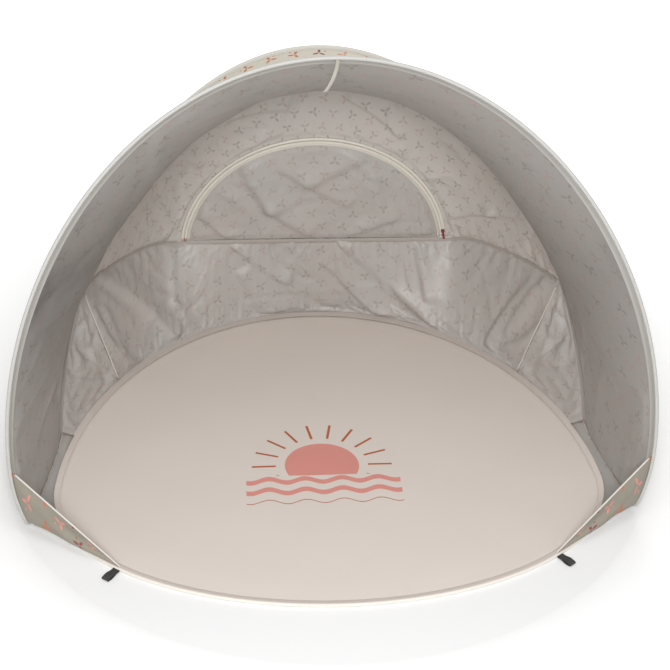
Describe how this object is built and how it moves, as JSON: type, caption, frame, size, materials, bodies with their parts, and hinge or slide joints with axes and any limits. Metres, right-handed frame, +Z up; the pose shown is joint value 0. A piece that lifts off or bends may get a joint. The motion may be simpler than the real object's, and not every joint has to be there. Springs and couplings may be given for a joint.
{
  "type": "beach tent",
  "caption": "Pop-up beach tent: round sewn floor, arched cloth canopy on spring-wire hoops, zipped half-round rear window flap, corner flaps and webbing peg loops.",
  "frame": {"origin": "on the ground, below the middle of the tent's bounding box", "axes": "+Z up, -Y out of the open front, +X to the right when looking into the tent"},
  "size_m": [1.648, 1.433, 1.1599],
  "materials": {
    "printed_canvas": "matt printed woven canvas",
    "floor_cloth": "matt coated floor cloth",
    "binding": "matt folded binding tape",
    "spring_steel": "bright spring wire",
    "insect_net": "fine net",
    "zip_plastic": "moulded zip teeth",
    "pull_red": "dark red painted",
    "black_webbing": "woven webbing"
  },
  "bodies": {
    "tent": {"back_gusset_left": "printed_canvas", "back_gusset_right": "printed_canvas", "back_seam_tape": "binding", "back_wall_lower": "printed_canvas", "back_wall_upper": "printed_canvas", "canopy_hoop_ferrule": "spring_steel", "canopy_hoop_wire": "spring_steel", "canopy_sleeve_front": "binding", "canopy_sleeve_rear": "binding", "corner_piping_left": "binding", "corner_piping_right": "binding", "flap_edge_binding_left": "binding", "flap_edge_binding_right": "binding", "floor_hoop_ferrule": "spring_steel", "floor_hoop_sleeve": "binding", "floor_hoop_wire": "spring_steel", "floor_panel": "floor_cloth", "foot_patch_left": "binding", "foot_patch_right": "binding", "foot_sleeve_left": "binding", "foot_sleeve_right": "binding", "front_flap_left": "printed_canvas", "front_flap_right": "printed_canvas", "roof_band": "printed_canvas", "tie_ribbon": "binding", "window_net": "insect_net", "zip_row_wall": "zip_plastic", "zip_stop_left": "pull_red", "zip_stop_right": "pull_red", "zip_tape_wall": "binding"},
    "window_flap_body": {"window_flap": "printed_canvas", "zip_tape_flap": "binding", "zip_row_flap": "zip_plastic"},
    "zip_slider_body": {"zip_slider": "pull_red"},
    "zip_pull_body": {"zip_pull": "pull_red"},
    "peg_loop_front_left_body": {"peg_loop_front_left": "black_webbing"},
    "peg_loop_front_right_body": {"peg_loop_front_right": "black_webbing"},
    "peg_loop_rear_left_body": {"peg_loop_rear_left": "black_webbing"},
    "peg_loop_rear_right_body": {"peg_loop_rear_right": "black_webbing"}
  },
  "joints": [
    {"name": "window_flap_hinge", "type": "hinge", "parent": "tent", "child": "window_flap_body", "pos_m": [0, 0.6778, 0.29625], "axis": [1, 0, 0], "range_deg": [0, 120]},
    {"name": "zip_slide", "type": "hinge", "parent": "tent", "child": "zip_slider_body", "pos_m": [0, 0.69061, 0.24574], "axis": [0, -0.9836, -0.1803], "range_deg": [0, 158]},
    {"name": "zip_pull_hinge", "type": "hinge", "parent": "zip_slider_body", "child": "zip_pull_body", "pos_m": [0.41847, 0.66926, 0.32452], "axis": [-0.9816, 0.0344, -0.1877], "range_deg": [-12, 150]},
    {"name": "peg_loop_front_left_hinge", "type": "hinge", "parent": "tent", "child": "peg_loop_front_left_body", "pos_m": [-0.55615, -0.56011, 0.005], "axis": [-0.817, 0.5766, 0], "range_deg": [0, 75]},
    {"name": "peg_loop_front_right_hinge", "type": "hinge", "parent": "tent", "child": "peg_loop_front_right_body", "pos_m": [0.55615, -0.56011, 0.005], "axis": [-0.817, -0.5766, 0], "range_deg": [0, 75]},
    {"name": "peg_loop_rear_left_hinge", "type": "hinge", "parent": "tent", "child": "peg_loop_rear_left_body", "pos_m": [-0.4606, 0.52219, 0.005], "axis": [0.7208, 0.6932, 0], "range_deg": [0, 45]},
    {"name": "peg_loop_rear_right_hinge", "type": "hinge", "parent": "tent", "child": "peg_loop_rear_right_body", "pos_m": [0.4606, 0.52219, 0.005], "axis": [0.7208, -0.6932, 0], "range_deg": [0, 45]}
  ]
}
